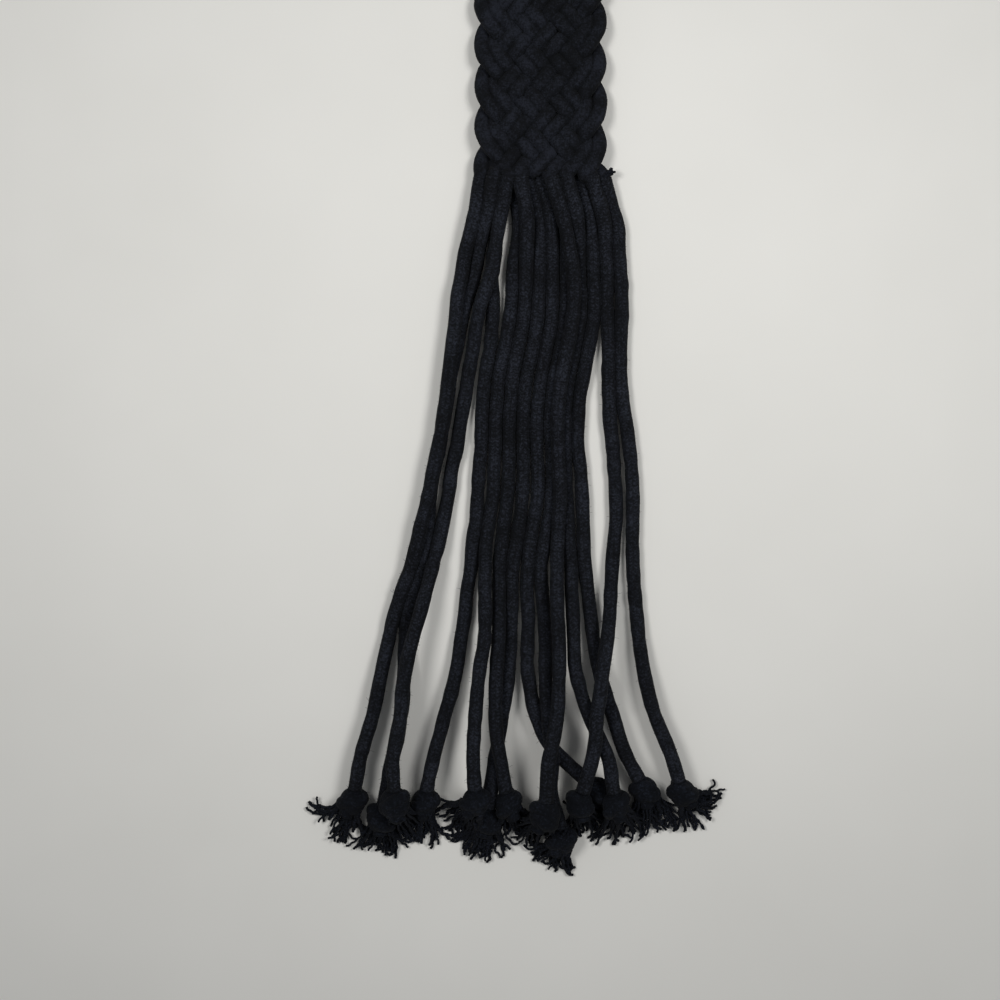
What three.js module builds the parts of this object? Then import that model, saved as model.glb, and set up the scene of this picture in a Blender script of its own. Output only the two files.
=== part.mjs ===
// Braided belt of black cotton cord, with a fringe of knotted and frayed cords at both ends.
// Millimetres, +Z up. The belt lies flat along Y, with its origin at the bottom centre of the braided band.

import * as THREE from "three";

// The cord, the tube that stands for it, and the clearance that neighbouring solids keep
const CORD_DIAMETER = 5.2;
const CLEARANCE = 0.3;
const TUBE_SIDES = 8;
const TUBE_RADIUS = 2.4;

// The flat plait: seven strands, each a pair of cords, cross in six columns
const STRAND_COUNT = 7;
const COLUMN_PITCH = 6.475;
const ROW_PITCH = 7.55;
const ROW_COUNT = 120;
const BAND_THICKNESS = 9.4;
const VALLEY_DEPTH = 2.7;
const EDGE_BULGE = 24.4;
const EDGE_NOTCH = 21.9;
const EDGE_BULGE_WALL = 4.8;
const EDGE_NOTCH_WALL = 2.8;

// The plait's end: the cords straighten over this run and leave in two layers
const END_RUN = 6.3;
const END_LEFT = -25.2;
const END_RIGHT = 26.4;
const END_WALL = 9.2;
const BAND_HALF_LENGTH = (ROW_COUNT * ROW_PITCH) / 2 + END_RUN;

// The knot and its frayed tuft
const KNOT_RADIUS = 5.2;
const KNOT_ENTRY = 4.6;
const RING_SIDES = 8;
const LOCK_DEPTH = 0.5;
const TUFT_FLOOR_HEIGHT = 1.9;
const RAISED_KNOT_HEIGHT = 6.2;
const RAISED_TUFT_DROOP = 2.6;

// The cut end of thin yarn beside the plait's end
const STUB_RADIUS = 0.95;
const STUB_LENGTH = 2.6;
const STUB_RISE = Math.PI / 6;
const STUB_FOOT = { across: 24.6, fromEnd: 3.4 };

// Balls that stand for one straight stretch of cord while the fringe is laid
const BALLS_PER_STRETCH = 12;

// Distances from the plait's end at which the free cords' places are given
const STATIONS = [0, 15, 30, 52, 75, 97, 119, 141, 163, 186, 200, 212];

// The free cords in the order in which they lie, lowest first, seen with the near fringe towards the viewer.
// across: places right of the middle line at the stations; exit: height at the plait's end;
// knot: place across and distance from the plait's end;
// tuft: its turn to the right of the belt's own direction in degrees, and its reach from the knot.
const TAILS = [
  {
    number: 8,
    across: [-5, -0.6, -0.3, -1.1, -5.2, -6.5, -6.7, -9.8, -10.5, -12, -14.2, -16.4],
    exit: 2.6,
    knot: [-20, 237.5],
    tuft: { turn: -8, reach: 14 },
  },
  {
    number: 7,
    across: [0.1, 4, 4.6, 4.1, 0, -1.3, -1.2, -4.6, -4.6, -4.5, -1.3, 5.7],
    exit: 2.6,
    knot: [21.2, 226.5],
    tuft: { turn: -20, reach: 12 },
  },
  {
    number: 10,
    across: [5.9, 8.6, 9.6, 9.2, 5.2, 3.8, 4.3, 0.6, 1.4, 1.8, 2.8, 3.9],
    exit: 2.6,
    knot: [8, 245],
    tuft: { turn: -30, reach: 12 },
  },
  {
    number: 5,
    across: [-10.2, -9.6, -10.2, -11.5, -15.6, -16.8, -17.8, -20.3, -20.5, -22.9, -24.2, -24.8],
    exit: 2.6,
    knot: [-24, 229.5],
    tuft: { turn: -32, reach: 15 },
  },
  {
    number: 4,
    across: [-15.3, -15.3, -17.7, -17.6, -20.8, -21.9, -23.3, -25.5, -28.3, -32, -35.6, -39.2],
    exit: 2.6,
    knot: [-43, 231],
    tuft: { turn: -12, reach: 14 },
  },
  {
    number: 2,
    across: [-17.4, -20, -23.9, -28.9, -33.6, -37, -41, -43.2, -49.7, -50.3, -51.8, -54],
    exit: 7.6,
    knot: [-59, 236.5],
    tuft: { turn: -4, reach: 15 },
  },
  {
    number: 6,
    across: [-6.6, -5, -5.2, -6.3, -10.4, -11.6, -12.3, -15, -15.4, -16.6, -16.5, -15.2],
    exit: 7.6,
    knot: [-12, 231],
    tuft: { turn: 22, reach: 14 },
  },
  {
    number: 1,
    across: [-22, -24.8, -28.4, -31.5, -34.4, -37.4, -41.8, -47.4, -54.3, -59.4, -62.3, -65.7],
    exit: 4.8,
    knot: [-69.5, 230.5],
    tuft: { turn: -28, reach: 16 },
  },
  {
    number: 3,
    across: [-12.3, -14.9, -18.2, -23.1, -27, -30.9, -34.6, -39, -45.1, -50.3, -51.8, -53.7],
    exit: 7.6,
    knot: [-53.5, 230],
    tuft: { turn: 16, reach: 15 },
  },
  {
    number: 9,
    across: [9.5, 13.4, 14.5, 14.4, 10.3, 9, 9.9, 11.1, 12, 13.6, 18.3, 24],
    exit: 7.6,
    knot: [27.5, 231],
    tuft: { turn: 18, reach: 14 },
  },
  {
    number: 11,
    across: [14.2, 18.4, 19.5, 19.6, 15.5, 14.1, 15.4, 16.3, 18.8, 22.4, 27, 31],
    exit: 2.6,
    knot: [38.5, 226.5],
    tuft: { turn: 10, reach: 16 },
  },
  {
    number: 12,
    across: [4, 8.4, 11.5, 11.8, 7.7, 6.4, 7.1, 5.9, 6.3, 6.6, 5.4, 3],
    exit: 7.6,
    knot: [1.4, 234],
    tuft: { turn: -24, reach: 13 },
  },
  {
    number: 14,
    across: [23.5, 28, 29.4, 30, 29.7, 32.9, 34.1, 34.4, 35.8, 38.8, 42.7, 47.6],
    exit: 3.6,
    knot: [52.5, 227.5],
    tuft: { turn: 38, reach: 14 },
  },
  {
    number: 13,
    across: [18.8, 23.4, 24.6, 25.1, 25.2, 26.7, 27.9, 26.9, 25.3, 22, 20.2, 18.7],
    exit: 5.8,
    knot: [14, 230.5],
    tuft: { turn: 14, reach: 13 },
  },
];

const blackCotton = new THREE.MeshStandardMaterial({ color: 0x131314, roughness: 0.95, metalness: 0 });

function namedMesh(name, geometry) {
  const mesh = new THREE.Mesh(geometry, blackCotton);
  mesh.name = name;
  return mesh;
}

// A geometry from shared corners and triangles that index them
function geometryFrom(corners, triangles) {
  const geometry = new THREE.BufferGeometry();
  geometry.setAttribute("position", new THREE.Float32BufferAttribute(corners.flat(), 3));
  geometry.setIndex(triangles.flat());
  geometry.computeVertexNormals();
  return geometry;
}

// One line of corners across the band; rows run from the near end face to the far one.
// Crossings stand up and the gaps between four of them sink in, on both faces.
// A strand turns on every second row at each edge, and the edge bulges there.
// The middle of the underside is pressed flat.
function bandLine(row) {
  const atEnd = row < 0 || row > ROW_COUNT;
  const y = atEnd ? Math.sign(row) * BAND_HALF_LENGTH : (row - ROW_COUNT / 2) * ROW_PITCH;
  const nearestRow = THREE.MathUtils.clamp(row, 0, ROW_COUNT);
  const side = row < 0 ? 1 : -1;
  const endEdges = [END_LEFT * side, END_RIGHT * side].sort((a, b) => a - b);
  const line = [];
  for (let column = 0; column <= STRAND_COUNT; column += 1) {
    const edge = column === 0 || column === STRAND_COUNT;
    const crossing = (column + nearestRow) % 2 === 0;
    const pressedFlat = Math.abs(row - ROW_COUNT / 2) <= 1 && (column === 3 || column === 4);
    let x = (column - STRAND_COUNT / 2) * COLUMN_PITCH;
    let sink = crossing ? 0 : VALLEY_DEPTH;
    if (edge) {
      x = Math.sign(x) * (crossing ? EDGE_BULGE : EDGE_NOTCH);
      sink = (BAND_THICKNESS - (crossing ? EDGE_BULGE_WALL : EDGE_NOTCH_WALL)) / 2;
    }
    if (atEnd) {
      x = THREE.MathUtils.lerp(endEdges[0], endEdges[1], column / STRAND_COUNT);
      sink = edge ? (BAND_THICKNESS - EDGE_BULGE_WALL) / 2 : (BAND_THICKNESS - END_WALL) / 2;
    }
    line.push({ x, y, low: pressedFlat ? 0 : sink, high: BAND_THICKNESS - sink, crossing });
  }
  return line;
}

// Two triangles for a quad whose corners run round it, split from its first corner or from its second
function quad([a, b, c, d], splitFromFirst) {
  return splitFromFirst ? [a, b, c, a, c, d] : [a, b, d, b, c, d];
}

// Each quad of the band is split along the line between its two low corners, so a crossing is a low pyramid
function braidedBand() {
  const lines = [];
  for (let row = -1; row <= ROW_COUNT + 1; row += 1) {
    lines.push(bandLine(row));
  }
  const corners = [];
  const triangles = [];
  const across = STRAND_COUNT + 1;
  const low = (row, column) => 2 * (row * across + column);
  const high = (row, column) => low(row, column) + 1;
  lines.flat().forEach((point) => {
    corners.push([point.x, point.y, point.low], [point.x, point.y, point.high]);
  });
  const lastRow = lines.length - 1;
  for (let row = 0; row < lastRow; row += 1) {
    for (let column = 0; column < STRAND_COUNT; column += 1) {
      const firstIsLow = !lines[row][column].crossing;
      const ring = [[row, column], [row, column + 1], [row + 1, column + 1], [row + 1, column]];
      triangles.push(quad(ring.map((place) => high(...place)), firstIsLow));
      const turned = [ring[0], ring[3], ring[2], ring[1]];
      triangles.push(quad(turned.map((place) => low(...place)), firstIsLow));
    }
    const last = STRAND_COUNT;
    triangles.push(quad([low(row + 1, 0), low(row, 0), high(row, 0), high(row + 1, 0)], true));
    triangles.push(quad([low(row, last), low(row + 1, last), high(row + 1, last), high(row, last)], true));
  }
  for (let column = 0; column < STRAND_COUNT; column += 1) {
    const next = column + 1;
    triangles.push(quad([low(0, column), low(0, next), high(0, next), high(0, column)], true));
    triangles.push(
      quad([low(lastRow, next), low(lastRow, column), high(lastRow, column), high(lastRow, next)], true)
    );
  }
  return namedMesh("braided_band", geometryFrom(corners, triangles));
}

// A route that passes straight from point to point, with one ring of a tube at each point.
// Its first ring faces squarely out of the plait's end.
class PointRoute extends THREE.Curve {
  constructor(points) {
    super();
    this.points = points;
  }

  getUtoTmapping(u) {
    return u;
  }

  getPoint(t, target = new THREE.Vector3()) {
    const place = t * (this.points.length - 1);
    const index = Math.min(Math.floor(place), this.points.length - 2);
    return target.lerpVectors(this.points[index], this.points[index + 1], place - index);
  }

  getTangent(t, target = new THREE.Vector3()) {
    return t === 0 ? target.set(0, -1, 0) : super.getTangent(t, target);
  }
}

// The route of one free cord in plan, its knot's centre, and the direction in which it enters the knot
function planOf(tail) {
  const plan = STATIONS.map((distance, index) => new THREE.Vector3(tail.across[index], -distance, 0));
  const centre = new THREE.Vector3(tail.knot[0], -tail.knot[1], 0);
  const into = centre.clone().sub(plan[plan.length - 1]).normalize();
  plan.push(centre.clone().addScaledVector(into, -(KNOT_ENTRY + CLEARANCE)));
  return { plan, centre, into };
}

// The height at which a ball in plan clears the balls already laid, and no lower than its resting height
function clearHeight(place, radius, resting, laid) {
  let height = resting;
  laid.forEach((ball) => {
    const reach = radius + ball.radius + CLEARANCE;
    const apart = (place.x - ball.x) ** 2 + (place.y - ball.y) ** 2;
    if (apart < reach * reach) {
      height = Math.max(height, ball.z + Math.sqrt(reach * reach - apart));
    }
  });
  return height;
}

// Lays the free cords one on another: each is a chain of balls that rests on those laid before it.
// Both ends of a straight stretch are lifted to the height that any ball along it needs.
function layTails() {
  const laid = [];
  const resting = CORD_DIAMETER / 2;
  return TAILS.map((tail) => {
    const { plan, centre, into } = planOf(tail);
    const last = plan.length - 1;
    const heights = plan.map(() => resting);
    heights[0] = tail.exit;
    for (let index = 0; index < last; index += 1) {
      for (let step = 0; step <= BALLS_PER_STRETCH; step += 1) {
        const place = plan[index].clone().lerp(plan[index + 1], step / BALLS_PER_STRETCH);
        const needed = clearHeight(place, TUBE_RADIUS, resting, laid);
        heights[index] = Math.max(heights[index], needed);
        heights[index + 1] = Math.max(heights[index + 1], needed);
      }
    }
    heights[last] = Math.max(heights[last], clearHeight(centre, KNOT_RADIUS, KNOT_RADIUS, laid));
    centre.z = heights[last];
    const route = plan.map((place, index) => new THREE.Vector3(place.x, place.y, heights[index]));
    for (let index = 0; index < last; index += 1) {
      for (let step = 0; step <= BALLS_PER_STRETCH; step += 1) {
        const ball = route[index].clone().lerp(route[index + 1], step / BALLS_PER_STRETCH);
        laid.push({ x: ball.x, y: ball.y, z: ball.z, radius: TUBE_RADIUS });
      }
    }
    laid.push({ x: centre.x, y: centre.y, z: centre.z, radius: KNOT_RADIUS });
    return { tail, route, centre, into };
  });
}

// A round section for the tubes, with its corners on the circle
function tubeSection() {
  const section = new THREE.Shape();
  for (let side = 0; side < TUBE_SIDES; side += 1) {
    const angle = (2 * Math.PI * side) / TUBE_SIDES;
    const x = TUBE_RADIUS * Math.cos(angle);
    const y = TUBE_RADIUS * Math.sin(angle);
    if (side === 0) {
      section.moveTo(x, y);
    } else {
      section.lineTo(x, y);
    }
  }
  return section;
}

function tailTube(route) {
  return new THREE.ExtrudeGeometry(tubeSection(), {
    extrudePath: new PointRoute(route),
    steps: route.length - 1,
    curveSegments: 1,
  });
}

// The middle of a set of corners
function middleOf(corners) {
  return [0, 1, 2].map((axis) => corners.reduce((sum, corner) => sum + corner[axis], 0) / corners.length);
}

// A closed skin over rings of corners: the first ring is a flat end,
// and the last one closes to the middle of its drawn-back corners
function skinOver(rings) {
  const sides = rings[0].length;
  const tipMiddle = middleOf(rings[rings.length - 1].filter((unused, side) => side % 2 === 0));
  const triangles = [];
  for (let ring = 0; ring + 1 < rings.length; ring += 1) {
    for (let side = 0; side < sides; side += 1) {
      const next = (side + 1) % sides;
      const a = ring * sides + side;
      const b = ring * sides + next;
      triangles.push(quad([a, a + sides, b + sides, b], true));
    }
  }
  for (let side = 1; side + 1 < sides; side += 1) {
    triangles.push([0, side, side + 1]);
  }
  const tip = (rings.length - 1) * sides;
  const middle = rings.length * sides;
  for (let side = 0; side < sides; side += 1) {
    triangles.push([middle, tip + ((side + 1) % sides), tip + side]);
  }
  return geometryFrom([...rings.flat(), tipMiddle], triangles);
}

// The knot with its tuft, from the face where the cord goes in to the tips of the yarns.
// along: from the knot's centre; wide, tall: half sizes; turned, sunk: share of the tuft's turn and droop.
function knotSections(reach) {
  return [
    { along: -KNOT_ENTRY, wide: 3, tall: 3, turned: 0, sunk: 0 },
    { along: -2.2, wide: 5, tall: 4.9, turned: 0, sunk: 0 },
    { along: 2.2, wide: 4.9, tall: 4.8, turned: 0.5, sunk: 0 },
    { along: 5.2, wide: 2.7, tall: 2.6, turned: 1, sunk: 0.25 },
    { along: reach, wide: 5.2, tall: 1.7, turned: 1, sunk: 1 },
  ];
}

// Every second corner of the tuft's tip draws back towards its neck, which leaves the tip in pointed locks
function drawBack(tip, neck) {
  return tip.map((corner, side) => {
    const share = side % 2 === 0 ? LOCK_DEPTH : 0;
    return corner.map((value, axis) => THREE.MathUtils.lerp(value, neck[side][axis], share));
  });
}

// A knot on the surface lets its tuft sink to it; one that lies on other cords keeps its tuft above them
function knotWithTuft({ tail, route, centre, into }) {
  const entry = route[route.length - 1];
  const before = route[route.length - 2];
  const slope = (entry.z - before.z) / Math.hypot(entry.x - before.x, entry.y - before.y);
  const heading = Math.atan2(into.y, into.x);
  const tuftHeading = -Math.PI / 2 + THREE.MathUtils.degToRad(tail.tuft.turn);
  const turn = tuftHeading - heading;
  const droop = centre.z > RAISED_KNOT_HEIGHT ? RAISED_TUFT_DROOP : centre.z - TUFT_FLOOR_HEIGHT;
  const rings = knotSections(tail.tuft.reach).map((section, index) => {
    const angle = heading + turn * section.turned;
    const forward = new THREE.Vector3(Math.cos(angle), Math.sin(angle), index === 0 ? slope : 0).normalize();
    const sideways = new THREE.Vector3(Math.sin(angle), -Math.cos(angle), 0);
    const upwards = new THREE.Vector3().crossVectors(sideways, forward);
    const middle = centre.clone().addScaledVector(forward, section.along);
    middle.z = centre.z - droop * section.sunk;
    if (index === 0) {
      middle.copy(entry).addScaledVector(forward, CLEARANCE);
    }
    return Array.from({ length: RING_SIDES }, (unused, side) => {
      const around = (2 * Math.PI * (side + 0.5)) / RING_SIDES;
      return middle
        .clone()
        .addScaledVector(sideways, section.wide * Math.cos(around))
        .addScaledVector(upwards, section.tall * Math.sin(around))
        .toArray();
    });
  });
  const tip = rings.pop();
  return skinOver([...rings, drawBack(tip, rings[rings.length - 1])]);
}

// The near fringe starts at the near end face; the far one is the same, turned half round
function fringe(end) {
  const group = new THREE.Group();
  layTails().forEach((laidTail) => {
    const number = String(laidTail.tail.number).padStart(2, "0");
    group.add(namedMesh(`tail_${end}_${number}`, tailTube(laidTail.route)));
    group.add(namedMesh(`knot_${end}_${number}`, knotWithTuft(laidTail)));
  });
  group.children.forEach((mesh) => {
    mesh.position.y = -(BAND_HALF_LENGTH + CLEARANCE);
  });
  group.rotation.z = end === "far" ? Math.PI : 0;
  return group;
}

// A short end of thin yarn that stands out sideways from the right edge at the near end
function yarnStub() {
  const mesh = namedMesh("yarn_stub", new THREE.CylinderGeometry(STUB_RADIUS, STUB_RADIUS, STUB_LENGTH, 8));
  mesh.rotation.z = STUB_RISE - Math.PI / 2;
  mesh.position.set(
    STUB_FOOT.across + (STUB_LENGTH / 2) * Math.cos(STUB_RISE),
    STUB_FOOT.fromEnd - BAND_HALF_LENGTH + (STUB_LENGTH / 2) * Math.sin(STUB_RISE),
    BAND_THICKNESS / 2
  );
  return mesh;
}

const belt = new THREE.Group();
belt.add(braidedBand());
belt.add(fringe("near"));
belt.add(fringe("far"));
belt.add(yarnStub());

export default belt;
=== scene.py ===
import math

import bpy
import numpy as np
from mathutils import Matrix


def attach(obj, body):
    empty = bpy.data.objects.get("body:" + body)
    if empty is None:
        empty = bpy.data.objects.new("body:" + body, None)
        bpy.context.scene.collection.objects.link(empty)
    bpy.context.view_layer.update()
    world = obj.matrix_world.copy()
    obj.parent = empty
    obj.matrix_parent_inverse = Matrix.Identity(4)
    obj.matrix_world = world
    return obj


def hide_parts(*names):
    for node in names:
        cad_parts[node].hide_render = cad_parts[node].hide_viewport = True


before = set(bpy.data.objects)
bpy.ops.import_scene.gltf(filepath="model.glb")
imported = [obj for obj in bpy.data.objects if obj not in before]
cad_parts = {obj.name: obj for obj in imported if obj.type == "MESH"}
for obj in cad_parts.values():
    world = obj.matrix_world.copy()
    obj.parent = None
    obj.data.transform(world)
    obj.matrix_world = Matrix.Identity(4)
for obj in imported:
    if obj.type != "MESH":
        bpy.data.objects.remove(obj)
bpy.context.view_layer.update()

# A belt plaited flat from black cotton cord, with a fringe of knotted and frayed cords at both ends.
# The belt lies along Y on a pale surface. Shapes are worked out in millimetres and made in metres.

MM = 0.001

# The cord. Cords that touch press into each other by 0.7. A pair named WANDER or SWAY is a wavelength, in
# rows for the plait's pairs, and a size, which is a share of the radius for WANDER.
CORD_DIAMETER = 5.2
CORD_RADIUS = CORD_DIAMETER / 2
CORD_GAP = -0.7
RADIUS_WANDER = (4.0, 0.036)

# The flat plait: seven strands, each a pair of cords, cross in six columns. Its rows are shifted and
# slanted a little from even ones about the belt's middle. A strand's line has six steps a row.
STRAND_COUNT = 7
COLUMN_PITCH = 6.475
ROW_PITCH = 7.55
ROW_COUNT = 120
BAND_THICKNESS = 9.4
CROSSING_RISE = 2.25
PAIR_OFFSET = 2.42
PAIR_SWAY = (1.7, 0.24)
PAIR_HEIGHT_SWAY = (1.3, 0.18)
STRAND_STEPS = 6
PLAIT_OVERRUN = 0.25
PLAIT_SHIFT = -1.6
PLAIT_SHEAR = 0.03
PLAITED_WIDE = 1.1
PLAITED_TALL = 0.88
PLAITED_SIDES = 12
END_RUN = 6.3
BAND_HALF_LENGTH = ROW_COUNT * ROW_PITCH / 2 + END_RUN

# How a plaited cord's last part finds its exit
JOIN_STEPS = 10
JOIN_REACH = 0.6
JOIN_PULL = 1.1
SWAP_ROUNDS = 4
HEIGHT_WEIGHT = 0.35

# The free cords
PRESSED_LENGTH = 28.0
LAID_STEP = 1.0
SHORTEST_STEP = 0.5
CALM_LENGTH = 12
LAID_SWAY = (9.0, 0.16)
TAIL_STEP = {"near": 1.0, "far": 1.5}
TAIL_SIDES = {"near": 16, "far": 12}
HUMP_RADIUS = 75.0
END_HUMP_RADIUS = 330.0
HEIGHT_SOFTENING = 3.0

# The knot and the frayed yarns beyond it. A cord comes to its knot at the entry's distance before the knot's
# centre, and the lift above it.
KNOT_RADIUS = 5.2
KNOT_ENTRY = 4.9
KNOT_LIFT = 3.0
KNOT_STRETCH = (2.8, 2.4, 2.4)
KNOT_CORD_RADIUS = 2.55
KNOT_HALF_LENGTH = 4.8
KNOT_EXIT = 1.6
KNOT_CORE = (4.9, 5.3)
CORE_END_ANGLE = 1.45
CORE_RINGS = 15
ROLL_SPREAD = 0.5
LEAD_MARGIN = 0.9
LEAD_LENGTH = 1.2
BEND_START = -4.5
BEND_LENGTH = 10
NARROWING_LENGTH = 3.5
KNOT_WANDER = (3.0, 0.03)
BUNDLE_RADIUS = 4.4
YARNS_PER_CORD = 44
YARN_RADIUS = 0.5
YARN_SIDES = 5
YARN_STEPS = {"near": 20, "far": 11}
THICK_YARNS = 13
THICK_YARN_RADIUS = 1.15
LOCKS_PER_CORD = 8

# The overhand knot in a cord of diameter 1: its loop, its leads, and how it tightens
LOOP_HUB = 2.1
LOOP_SWING = 0.95
LOOP_CUT = 0.10
LOOP_POINTS = 200
LEAD_START = 1.2
LEAD_HEIGHT = 0.6
END_PULL = 0.05
STRAIGHTENING = 0.25
SAME_STRETCH = 1.5
LEAST_TOUCHING = 0.35
LONGEST_PUSH = 0.12
SPACING_ROUNDS = 5

# How locks and yarns lie and differ: a pair is the least and the greatest, and a spread is that of a bell
# curve
LOCK_PLACE_SPREAD = 0.08
LOCK_REACH = (0.78, 1.1)
LOCK_CURL_SPREAD = 0.03
LOCK_LIFT = (-0.8, 0.8)
LOCK_WIDTH = 0.9
LOCK_HEIGHT = 0.5
LOCK_FAN = 0.5
OUTER_LOCK_FAN = 0.35
FAN_START = -1
FAN_LENGTH = 6
YARN_OFFSET_SPREAD = 0.12
YARN_LIFT_SPREAD = 0.16
YARN_REACH = (0.9, 1.12)
YARN_FAN_SPREAD = 0.08
YARN_CURL_SPREAD = 0.024
YARN_HOOK_SPREAD = 0.9
YARN_THICKNESS = (0.82, 1.12)
THICK_YARN_REACH = 0.62
THICK_YARN_TAPER = 0.4
STRAY_SHARE = 0.12
STRAY_FAN_SPREAD = 0.35
STRAY_HOOK_SPREAD = 2.2
CRIMP_WAVE = (2.4, 4.6)
CRIMP_ANGLE = (0.2, 0.6)
CRIMP_HEIGHT = 0.25
CRIMP_START = 3
YARN_START = 1.6
REST_SPREAD = 1.1
SINKING_SHARE = (0.6, 1.1)
HIDDEN_IN_KNOT = 2.5

# Short hairs that stand out of the cotton
HAIR_RADIUS = 0.07
HAIR_SIDES = 3
HAIR_DEPTH = 0.93
HAIR_LEAN = 0.9
HAIR_SPREAD = 0.3
SHORTEST_HAIR = 0.45
MEAN_EXTRA_LENGTH = 0.3
LONGEST_HAIR = 2.0
HAIRS_PER_MM = {"near": 2.6, "far": 0.5, "plait": 0.5}

# Distances from the plait's end at which the free cords' places are given
STATIONS = (0, 15, 30, 52, 75, 97, 119, 141, 163, 186, 200, 212)

# The free cords in the order in which they lie, lowest first, seen with the near fringe towards the viewer:
# number, height at the plait's end, knot (across, distance from the plait's end), tuft (turn, reach),
# and places right of the middle line at the stations
TAILS = (
    (8, 2.6, (-20, 237.5), (-8, 14),
     (-5, -0.6, -0.3, -1.1, -5.2, -6.5, -6.7, -9.8, -10.5, -12, -14.2, -16.4)),
    (7, 2.6, (21.2, 226.5), (-20, 12),
     (0.1, 4, 4.6, 4.1, 0, -1.3, -1.2, -4.6, -4.6, -4.5, -1.3, 5.7)),
    (10, 2.6, (8, 245), (-30, 12),
     (5.9, 8.6, 9.6, 9.2, 5.2, 3.8, 4.3, 0.6, 1.4, 1.8, 2.8, 3.9)),
    (5, 2.6, (-24, 229.5), (-32, 15),
     (-10.2, -9.6, -10.2, -11.5, -15.6, -16.8, -17.8, -20.3, -20.5, -22.9, -24.2, -24.8)),
    (4, 2.6, (-43, 231), (-12, 14),
     (-15.3, -15.3, -17.7, -17.6, -20.8, -21.9, -23.3, -25.5, -28.3, -32, -35.6, -39.2)),
    (2, 7.6, (-59, 236.5), (-4, 15),
     (-17.4, -20, -23.9, -28.9, -33.6, -37, -41, -43.2, -49.7, -50.3, -51.8, -54)),
    (6, 7.6, (-12, 231), (22, 14),
     (-6.6, -5, -5.2, -6.3, -10.4, -11.6, -12.3, -15, -15.4, -16.6, -16.5, -15.2)),
    (1, 4.8, (-69.5, 230.5), (-28, 16),
     (-22, -24.8, -28.4, -31.5, -34.4, -37.4, -41.8, -47.4, -54.3, -59.4, -62.3, -65.7)),
    (3, 7.6, (-53.5, 230), (16, 15),
     (-12.3, -14.9, -18.2, -23.1, -27, -30.9, -34.6, -39, -45.1, -50.3, -51.8, -53.7)),
    (9, 7.6, (27.5, 231), (18, 14),
     (9.5, 13.4, 14.5, 14.4, 10.3, 9, 9.9, 11.1, 12, 13.6, 18.3, 24)),
    (11, 2.6, (38.5, 226.5), (10, 16),
     (14.2, 18.4, 19.5, 19.6, 15.5, 14.1, 15.4, 16.3, 18.8, 22.4, 27, 31)),
    (12, 7.6, (1.4, 234), (-24, 13),
     (4, 8.4, 11.5, 11.8, 7.7, 6.4, 7.1, 5.9, 6.3, 6.6, 5.4, 3)),
    (14, 3.6, (52.5, 227.5), (38, 14),
     (23.5, 28, 29.4, 30, 29.7, 32.9, 34.1, 34.4, 35.8, 38.8, 42.7, 47.6)),
    (13, 5.8, (14, 230.5), (14, 13),
     (18.8, 23.4, 24.6, 25.1, 25.2, 26.7, 27.9, 26.9, 25.3, 22, 20.2, 18.7)),
)

# Small shifts where cords part between two stations: number, distance, shift to the right, reach either way
SHIFTS = ((5, 16, 1.8, 22), (6, 0, -1.0, 14), (3, 33, 1.6, 15), (2, 36, 0.9, 13), (10, 227, -1.8, 14))

# Knots that are tied looser than the rest: number, share of their size
LOOSE_KNOTS = {2: 1.1, 3: 1.14, 12: 1.16}

# What the random draws start from
LAYING_SEED = 7
FAR_SEED = 100
PLAIT_SEED = 31
CUT_YARN_SEED = 5


def unit(vectors):
    """Each vector divided by its own length."""
    return vectors / np.maximum(np.linalg.norm(vectors, axis=-1, keepdims=True), 1e-9)


def smooth_step(value):
    """3v^2 - 2v^3 of the value held between 0 and 1."""
    held = np.clip(value, 0.0, 1.0)
    return held * held * (3 - 2 * held)


def distances_along(path):
    """The running sum of the lengths between neighbouring points of a path, or of each path of a batch."""
    gaps = np.linalg.norm(np.diff(path, axis=-2), axis=-1)
    return np.concatenate([np.zeros_like(gaps[..., :1]), np.cumsum(gaps, axis=-1)], axis=-1)


def evenly_spaced(path, count):
    """The same path with count points, at equal distances along it."""
    along = distances_along(path)
    at = np.linspace(0.0, along[-1], count)
    return np.stack([np.interp(at, along, path[:, axis]) for axis in range(3)], axis=1)


def wander(random, along, wavelength, size):
    """A smooth random line: values of the given size drawn once a wavelength, joined by smooth steps."""
    knots = random.normal(0.0, size, int(along[-1] / wavelength) + 3)
    place = along / wavelength
    before = np.floor(place).astype(int)
    share = smooth_step(place - before)
    return knots[before] * (1 - share) + knots[before + 1] * share


# Meshes


def mesh_from(name, points, faces, materials, uv=None, material_index=None):
    """A mesh object from an array of points in millimetres and arrays of faces with three or four corners."""
    corners = np.concatenate([group.ravel() for group in faces]).astype(np.int32)
    sizes = np.concatenate([np.full(len(group), group.shape[1]) for group in faces]).astype(np.int32)
    starts = np.concatenate([[0], np.cumsum(sizes)[:-1]]).astype(np.int32)
    mesh = bpy.data.meshes.new(name)
    mesh.vertices.add(len(points))
    mesh.vertices.foreach_set("co", (np.asarray(points, float) * MM).astype(np.float32).ravel())
    mesh.loops.add(len(corners))
    mesh.loops.foreach_set("vertex_index", corners)
    mesh.polygons.add(len(sizes))
    mesh.polygons.foreach_set("loop_start", starts)
    mesh.polygons.foreach_set("loop_total", sizes)
    if material_index is not None:
        mesh.polygons.foreach_set("material_index", material_index.astype(np.int32))
    if uv is not None:
        layer = mesh.uv_layers.new(name="AlongAround")
        layer.data.foreach_set("uv", uv.astype(np.float32).ravel())
    mesh.update(calc_edges=True)
    mesh.shade_smooth()
    mesh.validate()
    for material in materials:
        mesh.materials.append(material)
    piece = bpy.data.objects.new(name, mesh)
    bpy.context.scene.collection.objects.link(piece)
    return piece


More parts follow.
